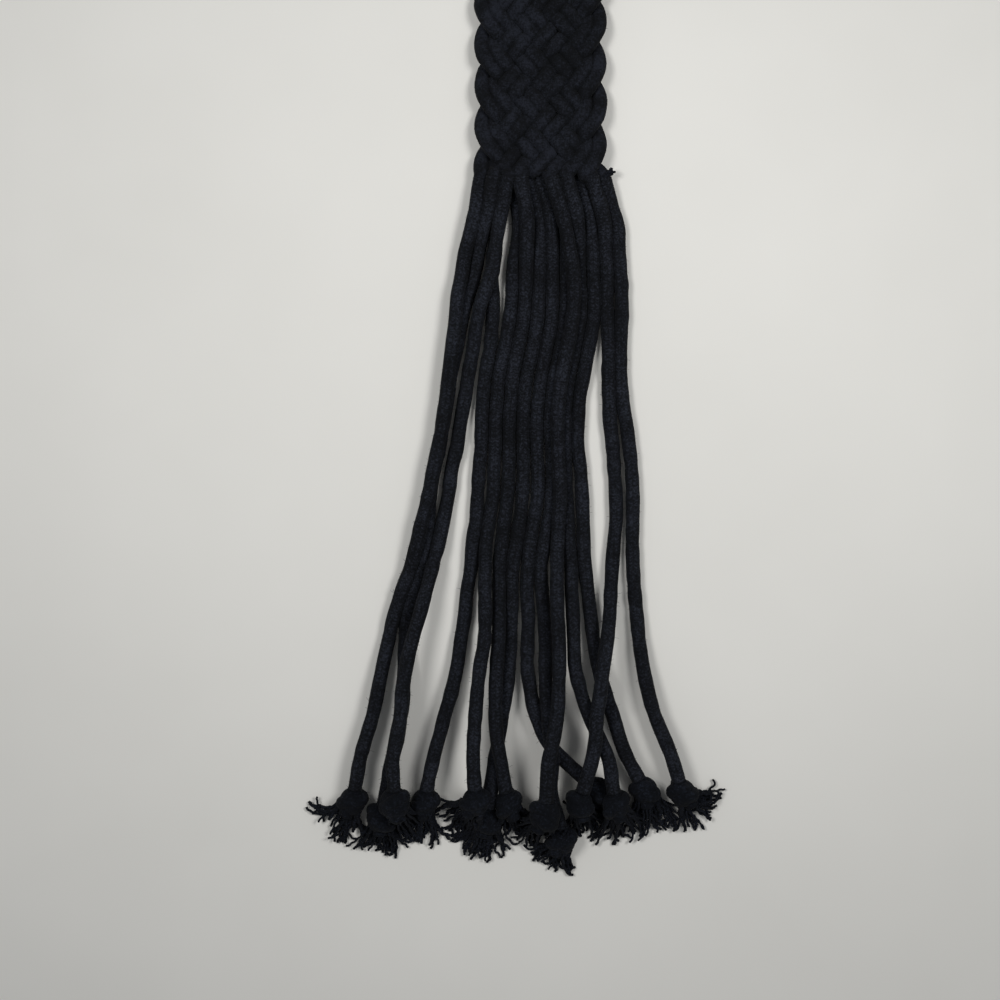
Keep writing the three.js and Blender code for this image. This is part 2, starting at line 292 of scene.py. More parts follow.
def level_frame(paths):
    """Sideways and upward unit vectors across paths that lie mostly level: side = tangent x Z and
    up = side x tangent."""
    tangent = unit(np.gradient(paths, axis=-2))
    side = unit(np.cross(tangent, np.array([0.0, 0.0, 1.0])))
    return side, np.cross(side, tangent)


def carried_frame(paths):
    """Sideways and upward unit vectors carried without twist along the one path of a batch: each side is
    the last one, less its part along the tangent."""
    path = paths[0]
    tangent = unit(np.gradient(path, axis=0))
    side = np.zeros_like(path)
    side[0] = unit(np.cross(tangent[0], np.array([0.0, 0.0, 1.0])))
    for ring in range(1, len(path)):
        side[ring] = unit(side[ring - 1] - tangent[ring] * (side[ring - 1] @ tangent[ring]))
    return side, np.cross(side, tangent)


def tubes(paths, radii, sides, wide=1.0, tall=1.0, frame_of=level_frame):
    """Closed round tubes along a batch of paths (path, ring, xyz) with a radius at each ring. Ring corner
    k lies at centre + r (wide cos a side + tall sin a up), a = 2 pi k / sides, with wide and tall the
    same or given for each ring; each end is a low cone, a third of the radius high. Returns points,
    faces, and UV with U = distance along in centimetres, V = a / 2 pi."""
    batch, rings = paths.shape[:2]
    side, up = frame_of(paths)
    side = side.reshape(batch, rings, 1, 3)
    up = up.reshape(batch, rings, 1, 3)
    angle = 2 * np.pi * np.arange(sides) / sides
    sideways = np.broadcast_to(wide, rings)[:, None] * np.cos(angle)
    upward = np.broadcast_to(tall, rings)[:, None] * np.sin(angle)
    across = sideways[None, ..., None] * side + upward[None, ..., None] * up
    shell = paths[:, :, None, :] + radii[:, :, None, None] * across
    tangent = unit(np.gradient(paths, axis=1))
    tips = np.stack(
        [
            paths[:, 0] - tangent[:, 0] * radii[:, :1] / 3,
            paths[:, -1] + tangent[:, -1] * radii[:, -1:] / 3,
        ],
        axis=1,
    )
    points = np.concatenate([shell.reshape(-1, 3), tips.reshape(-1, 3)])
    path_at, ring_at, side_at = np.indices((batch, rings - 1, sides))
    here = (path_at * rings + ring_at) * sides
    beyond = here + sides
    next_side = (side_at + 1) % sides
    quads = np.stack([here + side_at, beyond + side_at, beyond + next_side, here + next_side], axis=-1)
    along = distances_along(paths) / 10
    u = np.stack([along[path_at, ring_at], along[path_at, ring_at + 1]], axis=-1)[..., [0, 1, 1, 0]]
    v = np.stack([side_at, side_at, side_at + 1, side_at + 1], axis=-1) / sides
    quad_uv = np.stack([u, v], axis=-1).reshape(-1, 2)
    path_at, side_at = np.indices((batch, sides))
    next_side = (side_at + 1) % sides
    first = path_at * rings * sides
    last = first + (rings - 1) * sides
    tip = batch * rings * sides + 2 * path_at
    start_fans = np.stack([tip, first + side_at, first + next_side], axis=-1)
    end_fans = np.stack([tip + 1, last + next_side, last + side_at], axis=-1)
    around = np.stack([side_at + 0.5, side_at, side_at + 1], axis=-1) / sides
    start_u = np.zeros_like(around)
    end_u = np.repeat(along[:, -1][:, None, None], sides, axis=1) + np.zeros_like(around)
    fan_uv = np.concatenate(
        [
            np.stack([start_u, around], axis=-1).reshape(-1, 2),
            np.stack([end_u, around[..., [0, 2, 1]]], axis=-1).reshape(-1, 2),
        ]
    )
    faces = [quads.reshape(-1, 4), np.concatenate([start_fans.reshape(-1, 3), end_fans.reshape(-1, 3)])]
    return points, faces, np.concatenate([quad_uv, fan_uv])


def joined(name, bodies, materials):
    """One mesh object from several sets of tubes: (points, faces, uv, material number)."""
    points = np.concatenate([body[0] for body in bodies])
    shifts = np.cumsum([0] + [len(body[0]) for body in bodies[:-1]])
    quads = [body[1][0] + shift for body, shift in zip(bodies, shifts)]
    fans = [body[1][1] + shift for body, shift in zip(bodies, shifts)]
    quad_uv = [body[2][: 4 * len(body[1][0])] for body in bodies]
    fan_uv = [body[2][4 * len(body[1][0]) :] for body in bodies]
    index = [np.full(len(group), body[3]) for groups in (quads, fans) for group, body in zip(groups, bodies)]
    faces = [np.concatenate(quads), np.concatenate(fans)]
    return mesh_from(name, points, faces, materials, np.concatenate(quad_uv + fan_uv), np.concatenate(index))


def piece_of_belt(piece, *nodes):
    """Lets a piece go with the belt and stand for CAD nodes."""
    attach(piece, "root")
    if nodes:
        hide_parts(*nodes)
    return piece


# Materials


class Shader:
    """Adds nodes to one material and links them."""

    def __init__(self, name):
        self.material = bpy.data.materials.new(name)
        self.material.use_nodes = True
        self.tree = self.material.node_tree
        self.surface = self.tree.nodes["Principled BSDF"]

    def node(self, kind, inputs=(), **settings):
        """A new node with its inputs set or linked."""
        added = self.tree.nodes.new(kind)
        for key, value in settings.items():
            setattr(added, key, value)
        for socket, value in dict(inputs).items():
            self.put(added.inputs[socket], value)
        return added

    def put(self, socket, value):
        """Links a socket to another, or sets its own value."""
        if isinstance(value, bpy.types.NodeSocket):
            self.tree.links.new(value, socket)
        else:
            socket.default_value = value

    def math(self, operation, *values):
        """The result of one sum on one to three values."""
        return self.node("ShaderNodeMath", dict(enumerate(values)), operation=operation).outputs[0]

    def noise(self, place, scale, detail, roughness):
        """A cloudy value from 0 to 1, with scale features a metre."""
        inputs = {"Vector": place, "Scale": scale, "Detail": detail, "Roughness": roughness}
        return self.node("ShaderNodeTexNoise", inputs).outputs["Fac"]

    def ramp(self, value, low, high, low_colour, high_colour):
        """The low colour up to the low value, the high colour from the high one, and a blend between."""
        added = self.node("ShaderNodeValToRGB", {"Fac": value})
        added.color_ramp.elements[0].position = low
        added.color_ramp.elements[1].position = high
        added.color_ramp.elements[0].color = (*low_colour, 1)
        added.color_ramp.elements[1].color = (*high_colour, 1)
        return added.outputs["Color"]


# The noises in the cotton: features a metre, detail, roughness
FIBRES = (2600.0, 4.0, 0.6)
SPECKS = (1900.0, 2.0, 0.7)
LINT = (900.0, 3.0, 0.65)
UNEVEN_STITCHES = (300.0, 2.0, 0.6)
BLOTCHES = (170.0, 2.0, 0.6)
PATCHES = (60.0, 2.0, 0.5)

# What each adds to the relief or to the worn tone; the last two scale the worn tone together with the painted
# light on the cord's top
FIBRE_RELIEF = 0.55
LINT_RELIEF = 0.35
KNIT_WEAR = 0.25
LINT_WEAR = 0.55
SPECK_WEAR = 0.55
PATCH_WEAR = 0.3
KNIT_EVENING = 0.1
STITCH_LEAN = 1.1
STITCH_WANDER = 3.0
WEAR_AND_LIGHT_GAIN = 3.2
LEAST_WEAR_AND_LIGHT = 1.99


def cotton_finish(name, dark, light, knit, top, blotches, wales=8, course=1.3, bump=0.00028):
    """Black knitted cotton. Wales run along the cord, as many as are given round it; in each, stitches of one
    course (in millimetres) stand as a row of V shapes:
    height = (0.5 + 0.5 sin 2 pi (distance / course + lean |f| + unevenness)) (1 - (2f)^4),
    with f = place in the wale from -0.5 to 0.5. Knit is the share of the stitches in relief and in the worn
    tone, and blotches is how much the worn tone changes over a few millimetres. Top is painted light: the side
    facing up is made lighter by top (0.5 + 0.5 cos 2 pi (v - 0.25)), which leaves painted shade down the
    sides.
    Bump is the relief's height in metres. The colour goes from dark to light by max(gain t - least, 0)^2, with
    t the worn tone plus the painted light on top."""
    shader = Shader(name)
    coordinates = shader.node("ShaderNodeTexCoord")
    parts = shader.node("ShaderNodeSeparateXYZ", {"Vector": coordinates.outputs["UV"]})
    along, around = parts.outputs["X"], parts.outputs["Y"]
    place = coordinates.outputs["Object"]
    wale = shader.math("FRACT", shader.math("MULTIPLY", around, float(wales)))
    from_middle = shader.math("ABSOLUTE", shader.math("SUBTRACT", wale, 0.5))
    uneven = shader.math("MULTIPLY", shader.noise(place, *UNEVEN_STITCHES), STITCH_WANDER)
    lean = shader.math("MULTIPLY_ADD", from_middle, STITCH_LEAN, uneven)
    course_at = shader.math("MULTIPLY_ADD", along, 10.0 / course, lean)
    wave = shader.math("SINE", shader.math("MULTIPLY", course_at, 2 * math.pi))
    stitch = shader.math("MULTIPLY_ADD", wave, 0.5, 0.5)
    edge = shader.math("POWER", shader.math("MULTIPLY", from_middle, 2.0), 4.0)
    stitches = shader.math("MULTIPLY", stitch, shader.math("SUBTRACT", 1.0, edge))
    relief = shader.math("MULTIPLY", stitches, knit)
    lint = shader.noise(place, *LINT)
    fibrous = shader.math("MULTIPLY_ADD", shader.noise(place, *FIBRES), FIBRE_RELIEF, relief)
    surface_height = shader.math("MULTIPLY_ADD", lint, LINT_RELIEF, fibrous)
    knitted = shader.math("MULTIPLY_ADD", relief, KNIT_WEAR, shader.math("MULTIPLY", lint, LINT_WEAR))
    speckled = shader.math("MULTIPLY_ADD", shader.noise(place, *SPECKS), SPECK_WEAR, knitted)
    patched = shader.math("MULTIPLY_ADD", shader.noise(place, *PATCHES), PATCH_WEAR, speckled)
    rubbed = shader.math("MULTIPLY_ADD", shader.noise(place, *BLOTCHES), blotches, -0.5 * blotches)
    evened = shader.math("SUBTRACT", shader.math("ADD", patched, rubbed), 0.5 * top + KNIT_EVENING * knit)
    # Painted light and shade: the side facing up is made lighter by top, and the sides and underside darker.
    turned = shader.math("MULTIPLY_ADD", around, 2 * math.pi, -math.pi / 2)
    painted_light_share = shader.math("MULTIPLY_ADD", shader.math("COSINE", turned), 0.5, 0.5)
    wear_and_lit_top = shader.math("MULTIPLY_ADD", painted_light_share, top, evened)
    clipped = shader.math("MAXIMUM", shader.math("MULTIPLY_ADD", wear_and_lit_top, WEAR_AND_LIGHT_GAIN, -LEAST_WEAR_AND_LIGHT), 0.0)
    colour = shader.ramp(shader.math("POWER", clipped, 2.0), 0.0, 1.0, dark, light)
    relief_node = shader.node("ShaderNodeBump", {"Height": surface_height, "Distance": bump, "Strength": 0.9})
    shader.put(shader.surface.inputs["Base Color"], colour)
    shader.put(shader.surface.inputs["Normal"], relief_node.outputs["Normal"])
    shader.put(shader.surface.inputs["Roughness"], 0.92)
    shader.put(shader.surface.inputs["Specular IOR Level"], 0.14)
    shader.put(shader.surface.inputs["Sheen Weight"], 0.012)
    shader.put(shader.surface.inputs["Sheen Roughness"], 0.5)
    return shader.material


# Dark and light ends of each cotton's colour. The knitted cotton's light end shows at its worn specks and
# where painted light lies on the side facing up.
DARK_COTTON = (0.0019, 0.0023, 0.0033)
WORN_AND_LIT_COTTON = (0.0185, 0.0213, 0.0302)
PLAIT_COTTON = (0.0112, 0.0130, 0.0192)
KNOT_COTTON = (0.0145, 0.0182, 0.0285)
DARK_YARN = (0.0014, 0.0020, 0.0036)
WORN_YARN = (0.0125, 0.0152, 0.0245)
# Knitted and felted cotton get painted light on the side facing up and painted shade down the sides; the tied
# cotton and the yarns get none.
KNITTED_COTTON = cotton_finish("knitted_cotton", DARK_COTTON, WORN_AND_LIT_COTTON, knit=0.5, top=0.16, blotches=0.2)
FELTED_COTTON = cotton_finish("felted_cotton", DARK_COTTON, PLAIT_COTTON, knit=0.25, top=0.24, blotches=0.5)
TIED_COTTON = cotton_finish("tied_cotton", DARK_YARN, KNOT_COTTON, knit=0.3, top=0.0, blotches=0.2)
FRAYED_YARN = cotton_finish(
    "frayed_yarn", DARK_YARN, WORN_YARN, knit=1.0, top=0.0, blotches=0.0, wales=2, course=0.9, bump=0.0001
)

MOTTLE = (9.0, 3.0, 0.6)
DARKER_SURFACE = (0.70, 0.688, 0.648)
LIGHTER_SURFACE = (0.73, 0.718, 0.678)


def surface_finish():
    """The pale, faintly mottled surface that the belt lies on."""
    shader = Shader("pale_surface")
    place = shader.node("ShaderNodeTexCoord").outputs["Object"]
    mottle = shader.noise(place, *MOTTLE)
    colour = shader.ramp(mottle, 0.3, 0.7, DARKER_SURFACE, LIGHTER_SURFACE)
    shader.put(shader.surface.inputs["Base Color"], colour)
    shader.put(shader.surface.inputs["Roughness"], 0.6)
    shader.put(shader.surface.inputs["Specular IOR Level"], 0.2)
    return shader.material


# The camera looks straight down on the near fringe, as the photograph does. The view's width holds at the
# height of the cords' tops.

VIEW_MIDDLE = (-15.0, -578.4)
VIEW_WIDTH = 370.0
LENS = 70.0
SENSOR = 36.0
SEEN_HEIGHT = 5.0


def photograph_camera():
    """A camera over the middle of the view: height = width * lens / sensor + seen height."""
    lens = bpy.data.cameras.new("camera")
    lens.lens = LENS
    lens.sensor_width = SENSOR
    camera = bpy.data.objects.new("camera", lens)
    height = VIEW_WIDTH * LENS / SENSOR + SEEN_HEIGHT
    camera.location = (VIEW_MIDDLE[0] * MM, VIEW_MIDDLE[1] * MM, height * MM)
    bpy.context.scene.collection.objects.link(camera)
    bpy.context.scene.camera = camera


# The free cords


def clamped_spline(stations, values, first_slope, last_slope, at):
    """A cubic spline through the stations with the given end slopes. The slopes m solve
    m[i-1] / h[i-1] + 2 m[i] (1 / h[i-1] + 1 / h[i]) + m[i+1] / h[i] = 3 (d[i-1] / h[i-1] + d[i] / h[i]),
    with h the steps and d the differences over them; between stations the curve is the Hermite cubic."""
    stations = np.asarray(stations, float)
    values = np.asarray(values, float)
    step = np.diff(stations)
    rate = np.diff(values) / step
    count = len(stations)
    matrix = np.eye(count)
    right = np.zeros(count)
    right[0], right[-1] = first_slope, last_slope
    inner = np.arange(1, count - 1)
    matrix[inner, inner - 1] = 1 / step[:-1]
    matrix[inner, inner] = 2 * (1 / step[:-1] + 1 / step[1:])
    matrix[inner, inner + 1] = 1 / step[1:]
    right[inner] = 3 * (rate[:-1] / step[:-1] + rate[1:] / step[1:])
    slopes = np.linalg.solve(matrix, right)
    cell = np.clip(np.searchsorted(stations, at, side="right") - 1, 0, count - 2)
    t = (at - stations[cell]) / step[cell]
    return (
        (2 * t**3 - 3 * t**2 + 1) * values[cell]
        + (t**3 - 2 * t**2 + t) * step[cell] * slopes[cell]
        + (3 * t**2 - 2 * t**3) * values[cell + 1]
        + (t**3 - t**2) * step[cell] * slopes[cell + 1]
    )


def clear_heights(places, radius, balls):
    """The lowest height at which a ball of the radius clears the laid balls (x, y, z, radius) at each place:
    the largest z + sqrt(reach^2 - distance^2) over the balls within reach, or the radius itself."""
    if len(balls) == 0:
        return np.full(len(places), radius)
    reach = radius + balls[:, 3] + CORD_GAP
    apart = ((places[:, None, :] - balls[None, :, :2]) ** 2).sum(axis=2)
    over = np.where(apart < reach**2, balls[:, 2] + np.sqrt(np.maximum(reach**2 - apart, 0.0)), radius)
    return np.maximum(over.max(axis=1), radius)


def eased(along, heights):
    """Heights eased as a cord bends: the highest of parabolas of HUMP_RADIUS hung on all points, with a wider
    one hung on the last point, softened by a bell curve along the cord, and at least the cord's radius."""
    apart = along[:, None] - along[None, :]
    bend = np.full(len(along), HUMP_RADIUS)
    bend[-1] = END_HUMP_RADIUS
    hung = (heights[None, :] - apart**2 / (2 * bend[None, :])).max(axis=1)
    bell = np.exp(-0.5 * (apart / HEIGHT_SOFTENING) ** 2)
    return np.maximum((bell * hung[None, :]).sum(axis=1) / bell.sum(axis=1), CORD_RADIUS)


def shifts_along(number, distance):
    """The sum of one cord's shifts: amount * (1 - smooth_step(|distance - place| / reach))."""
    total = np.zeros_like(distance)
    for shifted, place, amount, reach in SHIFTS:
        if shifted == number:
            total += amount * (1 - smooth_step(np.abs(distance - place) / reach))
    return total


def lay_tails(random):
    """Lays the free cords one on another, lowest first. Each is a clamped spline across the stations with its
    shifts, and its height clears the cords and knots that lie already. Returns a record for each, in the near
    fringe's place."""
    laid = np.zeros((0, 4))
    records = []
    for number, exit_height, knot, tuft, across in TAILS:
        centre = np.array([knot[0], -knot[1]], float)
        last = np.array([across[-1], -STATIONS[-1]], float)
        into = unit(centre - last)
        entry = centre - into * KNOT_ENTRY
        slope = into[0] / -into[1]
        end = -entry[1]
        distance = np.arange(0.0, end, LAID_STEP)
        distance = np.append(distance[end - distance > SHORTEST_STEP], end)
        leaving = (across[1] - across[0]) / STATIONS[1]
        line = clamped_spline((*STATIONS, end), (*across, entry[0]), leaving, slope, distance)
        calm = smooth_step(distance / CALM_LENGTH) * smooth_step((end - distance) / CALM_LENGTH)
        line = line + calm * wander(random, distance, *LAID_SWAY) + shifts_along(number, distance)
        plan = np.stack([line, -distance], axis=1)
        along = distances_along(plan)
        needed = clear_heights(plan, CORD_RADIUS, laid)
        needed[0] = max(exit_height, needed[0])
        knot_height = clear_heights(centre[None, :], KNOT_RADIUS, laid)[0]
        needed[-1] = max(needed[-1], knot_height + KNOT_LIFT)
        height = eased(along, needed)
        route = np.column_stack([plan, height])
        centre = np.append(centre, max(knot_height, height[-1] - KNOT_LIFT))
        route[-1, 2] = centre[2] + KNOT_LIFT
        balls = np.column_stack([route, np.full(len(route), CORD_RADIUS)])
        laid = np.vstack([laid, balls, np.append(centre, KNOT_RADIUS)])
        heading = math.atan2(into[1], into[0])
        records.append(
            {
                "number": number,
                "leaving": leaving,
                "route": route,
                "centre": centre,
                "heading": heading,
                "turn": -math.pi / 2 + math.radians(tuft[0]) - heading,
                "reach": tuft[1],
                "below": laid[: -len(balls) - 1],
            }
        )
    return records


def placed(points, end):
    """Points of the near fringe in the belt's frame; the far fringe is the same, turned half round."""
    moved = points + np.array([0.0, -BAND_HALF_LENGTH, 0.0])
    return moved * np.array([-1.0, -1.0, 1.0]) if end == "far" else moved


def free_cord(record, end, random):
    """A tube along the laid route, a little uneven in its thickness, with its path and length. It leaves the
    plait as flat as the plaited cords are, and the share pressed is 1 - smooth_step(s / PRESSED_LENGTH)."""
    length = distances_along(record["route"])[-1]
    path = evenly_spaced(record["route"], int(round(length / TAIL_STEP[end])))
    path = placed(path, end)
    along = distances_along(path)
    radii = CORD_RADIUS * (1 + wander(random, along, *RADIUS_WANDER))
    pressed = 1 - smooth_step(along / PRESSED_LENGTH)
    wide = 1 + (PLAITED_WIDE - 1) * pressed
    tall = 1 + (PLAITED_TALL - 1) * pressed
    path[:, 2] = np.maximum(path[:, 2], radii * tall)
    points, faces, uv = tubes(path[None], radii[None], TAIL_SIDES[end], wide=wide, tall=tall)
    cord = mesh_from(f"free_cord_{end}_{record['number']:02d}", points, faces, [KNITTED_COTTON], uv)
    return cord, path, length


# The overhand knots and the frayed yarns


def overhand_path(count=110, rounds=1000, reach=3.4):
    """The line of a tight overhand knot in a cord of diameter 1, along Y, in two steps. It starts as the
    curve r = hub + swing cos 3t, angle 2t, z = sin 3t, cut where r is largest, with a straight lead on
    each end. Then it shortens, each point drawn towards the middle of its neighbours, while points of
    different stretches that come nearer than a diameter are pushed apart by half of what is missing."""
    t = np.linspace(LOOP_CUT, 2 * np.pi - LOOP_CUT, LOOP_POINTS)
    r = LOOP_HUB + LOOP_SWING * np.cos(3 * t)
    loop = np.stack([r * np.cos(2 * t) - LOOP_HUB, r * np.sin(2 * t), np.sin(3 * t)], axis=1)
    lead_in = np.array([[LOOP_SWING, -reach - 1, LEAD_HEIGHT], [LOOP_SWING, -LEAD_START, LEAD_HEIGHT]])
    lead_out = lead_in[::-1] * np.array([1.0, -1.0, -1.0])
    path = evenly_spaced(np.concatenate([lead_in, loop, lead_out]), count)
    index = np.arange(count)
    steps_apart = np.abs(index[:, None] - index[None])
    core = slice(count // 4, -count // 4)
    for turn in range(rounds):
        ends = path[core].mean(axis=0) + np.array([[0, -reach, 0], [0, reach, 0]])
        path[[0, -1]] += END_PULL * (ends - path[[0, -1]])
        for _ in range(2):
            path[1:-1] += STRAIGHTENING * (path[2:] + path[:-2] - 2 * path[1:-1])
        spacing = np.linalg.norm(np.diff(path, axis=0), axis=1).mean()
        other_stretch = steps_apart * spacing > SAME_STRETCH
        for _ in range(2):
            offset = path[:, None] - path[None]
            gap = np.sqrt((offset**2).sum(axis=2)) + 1e-9
            depth = np.where(other_stretch & (gap < 1.0), 1.0 - gap, 0.0)
            touching = np.maximum(1.0, LEAST_TOUCHING * (depth > 0).sum(axis=1))
            push = 0.5 * (offset * (depth / gap)[..., None]).sum(axis=1) / touching[:, None]
            size = np.linalg.norm(push, axis=1, keepdims=True)
            path[1:-1] += (push * np.minimum(1.0, LONGEST_PUSH / np.maximum(size, 1e-9)))[1:-1]
        if turn % SPACING_ROUNDS == 0:
            path = evenly_spaced(path, count)
    return path - path[core].mean(axis=0)


def bent_into_place(local, record):
    """Local points (right, forward, up) about the knot's centre, bent from the cord's heading to the tuft's:
    at forward distance f the heading is h + turn * smooth_step((f - bend start) / bend length)."""
    bend = smooth_step((local[..., 1] - BEND_START) / BEND_LENGTH)
    angle = record["heading"] + record["turn"] * bend
    forward = np.stack([np.cos(angle), np.sin(angle), np.zeros_like(angle)], axis=-1)
    right = np.stack([np.sin(angle), -np.cos(angle), np.zeros_like(angle)], axis=-1)
    up = np.array([0.0, 0.0, 1.0])
    return record["centre"] + local[..., :1] * right + local[..., 1:2] * forward + local[..., 2:] * up


def knot_line(tight, record, random):
    """The tight overhand line stretched to its real size, rolled about the cord, set down on what lies
    below, and led to the end of the free cord."""
    roll = math.pi / 2 + random.normal(0.0, ROLL_SPREAD) + (math.pi if random.random() < 0.5 else 0.0)
    looseness = LOOSE_KNOTS.get(record["number"], 1.0)
    half_length = KNOT_HALF_LENGTH * looseness
    line = tight * np.array(KNOT_STRETCH) * looseness
    line = line[(line[:, 1] > -half_length) & (line[:, 1] < half_length + KNOT_EXIT)]
    right = line[:, 0] * math.cos(roll) - line[:, 2] * math.sin(roll)
    up = line[:, 0] * math.sin(roll) + line[:, 2] * math.cos(roll)
    lead = smooth_step((np.abs(line[:, 1]) - half_length + LEAD_MARGIN) / LEAD_LENGTH)
    local = np.stack([right * (1 - lead), line[:, 1], up * (1 - lead)], axis=1)
    world = bent_into_place(local, record)
    lift = record["centre"][2] - KNOT_RADIUS + KNOT_CORD_RADIUS - world[:, 2].min()
    world[:, 2] += lift * (1 - lead)
    return np.vstack([record["route"][-1], world])


def yarn_paths(record, steps, random):
    """The yarns beyond the knot as a batch of paths with their radii, gathered in locks. The first ones are
    thick and short and fill the tuft's middle. A yarn starts inside the knot, and its heading in plan, summed
    along it, is tuft + fan * smooth_step((s - fan start) / fan length) + curl s + hook (s / length)^3
    + crimp sin(2 pi s / wave + phase). Its height falls from its place in the bundle to where it rests, and
    clears what lies below."""
    count = YARNS_PER_CORD
    thick = np.arange(count) < THICK_YARNS
    radius = np.where(thick, THICK_YARN_RADIUS, YARN_RADIUS)
    tuft = record["heading"] + record["turn"]
    lock = np.arange(count) % LOCKS_PER_CORD
    lock_place = (random.permutation(LOCKS_PER_CORD) + 0.5) / LOCKS_PER_CORD * 2 - 1
    lock_place = lock_place + random.normal(0.0, LOCK_PLACE_SPREAD, LOCKS_PER_CORD)
    lock_reach = random.uniform(*LOCK_REACH, LOCKS_PER_CORD)
    lock_curl = random.normal(0.0, LOCK_CURL_SPREAD, LOCKS_PER_CORD)
    lock_lift = random.uniform(*LOCK_LIFT, LOCKS_PER_CORD)
    offset = BUNDLE_RADIUS * (LOCK_WIDTH * lock_place[lock] + random.normal(0.0, YARN_OFFSET_SPREAD, count))
    lift = BUNDLE_RADIUS * (LOCK_HEIGHT * lock_lift[lock] + random.normal(0.0, YARN_LIFT_SPREAD, count))
    stray = ~thick & (random.random(count) < STRAY_SHARE)
    length = record["reach"] * lock_reach[lock] * random.uniform(*YARN_REACH, count)
    length = length * np.where(thick, THICK_YARN_REACH, 1.0)
    share = np.linspace(0.0, 1.0, steps)[None, :]
    s = length[:, None] * share
    lock_fan = -(LOCK_FAN + OUTER_LOCK_FAN * lock_place**2) * lock_place
    fan = lock_fan[lock] + random.normal(0.0, YARN_FAN_SPREAD, count)
    fan = fan + stray * random.normal(0.0, STRAY_FAN_SPREAD, count)
    curl = lock_curl[lock] + random.normal(0.0, YARN_CURL_SPREAD, count)
    hook = random.normal(0.0, YARN_HOOK_SPREAD, count) + stray * random.normal(0.0, STRAY_HOOK_SPREAD, count)
    wave = random.uniform(*CRIMP_WAVE, count)
    phase = random.random(count) * 2 * np.pi
    crimp = random.uniform(*CRIMP_ANGLE, count)
    turning = 2 * np.pi * s / wave[:, None] + phase[:, None]
    fanned = fan[:, None] * smooth_step((s - FAN_START) / FAN_LENGTH)
    heading = tuft + fanned + curl[:, None] * s + hook[:, None] * share**3
    angle = heading + crimp[:, None] * np.sin(turning) * smooth_step(s / CRIMP_START)
    step = length[:, None] / (steps - 1)
    moves = np.stack([np.cos(angle), np.sin(angle)], axis=-1)[:, :-1] * step[..., None]
    start = record["centre"][:2] + YARN_START * np.array([math.cos(tuft), math.sin(tuft)])
    right = np.array([math.sin(tuft), -math.cos(tuft)])
    plan = np.concatenate([np.zeros((count, 1, 2)), np.cumsum(moves, axis=1)], axis=1)
    plan = plan + start + offset[:, None, None] * right
    rest = radius + np.abs(random.normal(0.0, REST_SPREAD, count))
    top = record["centre"][2] + lift
    sinking = smooth_step(s / (length[:, None] * random.uniform(*SINKING_SHARE, (count, 1))))
    height = top[:, None] + (rest - top)[:, None] * sinking
    height = height + CRIMP_HEIGHT * np.cos(turning) * sinking
    clear = clear_heights(plan.reshape(-1, 2), YARN_RADIUS, record["below"]).reshape(count, steps)
    clear = np.maximum(np.where(s > HIDDEN_IN_KNOT, clear, 0.0), radius[:, None])
    paths = np.concatenate([plan, np.maximum(height, clear)[..., None]], axis=-1)
    taper = np.where(thick[:, None], 1 - THICK_YARN_TAPER * share**2, 1.0)
    return paths, radius[:, None] * random.uniform(*YARN_THICKNESS, (count, 1)) * taper


def hair_paths(path, radius, per_mm, random):
    """Short straight hairs round a cord. Each starts a little under the surface, at centre + depth r n
    with n a random direction across the cord, and leans from n by random shares of the tangent and of any
    direction."""
    along = distances_along(path)
    count = int(along[-1] * per_mm)
    at = random.uniform(0.0, along[-1], count)
    tangents = unit(np.gradient(path, axis=0))
    centre = np.stack([np.interp(at, along, path[:, axis]) for axis in range(3)], axis=1)
    tangent = np.stack([np.interp(at, along, tangents[:, axis]) for axis in range(3)], axis=1)
    drawn = random.normal(0.0, 1.0, (count, 3))
    normal = unit(drawn - tangent * (drawn * tangent).sum(axis=1, keepdims=True))
    lean = random.uniform(-HAIR_LEAN, HAIR_LEAN, (count, 1)) * tangent
    lean = lean + random.normal(0.0, HAIR_SPREAD, (count, 3))
    length = np.minimum(SHORTEST_HAIR + random.exponential(MEAN_EXTRA_LENGTH, (count, 1)), LONGEST_HAIR)
    start = centre + HAIR_DEPTH * radius * normal
    hairs = np.stack([start, start + length * unit(normal + lean)], axis=1)
    hairs[..., 2] = np.maximum(hairs[..., 2], HAIR_RADIUS)
    return hairs


def hair_piece(name, hairs):
    """All hairs of one part of the belt as one piece, each a thin tube that tapers to half."""
    paths = np.concatenate(hairs)
    radii = np.full(paths.shape[:2], HAIR_RADIUS) * np.array([1.0, 0.5])
    points, faces, uv = tubes(paths, radii, HAIR_SIDES)
    return mesh_from(name, points, faces, [FRAYED_YARN], uv)


def knot_core(record, end):
    """A round body that fills the knot: at the angle a, from nearly -90 to nearly 90 degrees, it lies at
    L sin a along the cord's heading, and its radius there is R cos a."""
    across, length = np.array(KNOT_CORE) * LOOSE_KNOTS.get(record["number"], 1.0)
    angle = np.linspace(-CORE_END_ANGLE, CORE_END_ANGLE, CORE_RINGS)
    along = np.array([math.cos(record["heading"]), math.sin(record["heading"]), 0.0])
    path = placed(record["centre"] + (length * np.sin(angle))[:, None] * along, end)
    return tubes(path[None], (across * np.cos(angle))[None], TAIL_SIDES[end])


